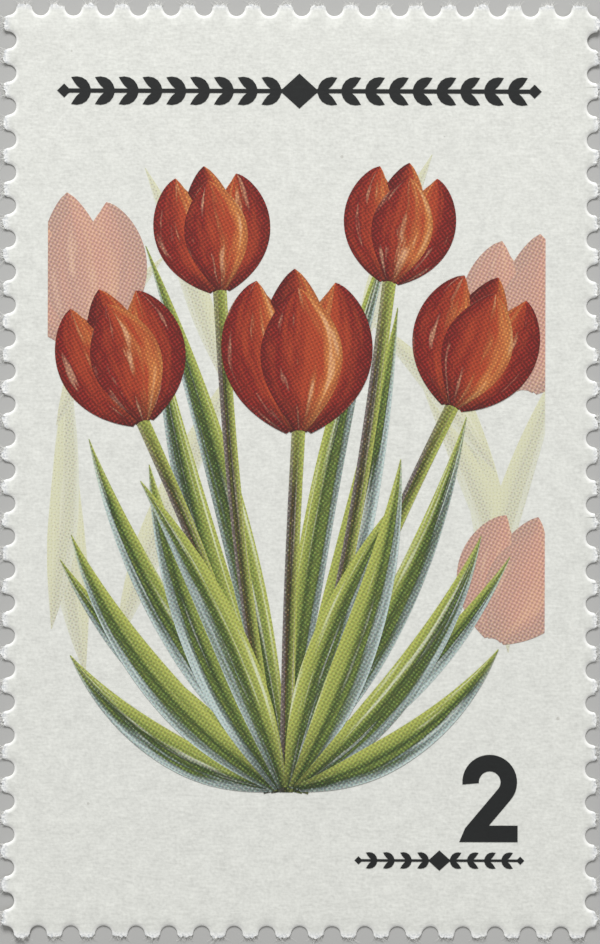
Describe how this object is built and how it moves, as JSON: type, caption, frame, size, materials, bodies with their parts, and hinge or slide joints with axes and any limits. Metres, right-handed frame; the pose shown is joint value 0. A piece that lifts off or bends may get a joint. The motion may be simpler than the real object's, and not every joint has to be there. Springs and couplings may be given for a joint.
{
  "type": "postage stamp",
  "caption": "Flat upright rectangle of gummed paper with torn perforated edges, printed with tulips, leaf bands and a plain numeral.",
  "frame": {"origin": "centre of the back face, on the surface that the stamp lies on", "axes": "+X to the right of the printed picture, +Y towards its top, +Z out of the printed face"},
  "size_m": [0.026, 0.041, 0.0001],
  "materials": {
    "coated_paper": "matt coated",
    "dry_gum": "satin",
    "leaf_ink": "halftone print, matt",
    "tulip_ink": "halftone print, matt",
    "black_ink": "solid print, satin"
  },
  "bodies": {
    "root": {"gum_film": "dry_gum", "paper_sheet": "coated_paper", "ink_leaves": "leaf_ink", "ink_tulip_front": "tulip_ink", "ink_tulip_left": "tulip_ink", "ink_tulip_right": "tulip_ink", "ink_tulip_back_left": "tulip_ink", "ink_tulip_back_right": "tulip_ink", "ink_numeral": "black_ink", "ink_top_band": "black_ink", "ink_foot_band": "black_ink"}
  },
  "joints": []
}
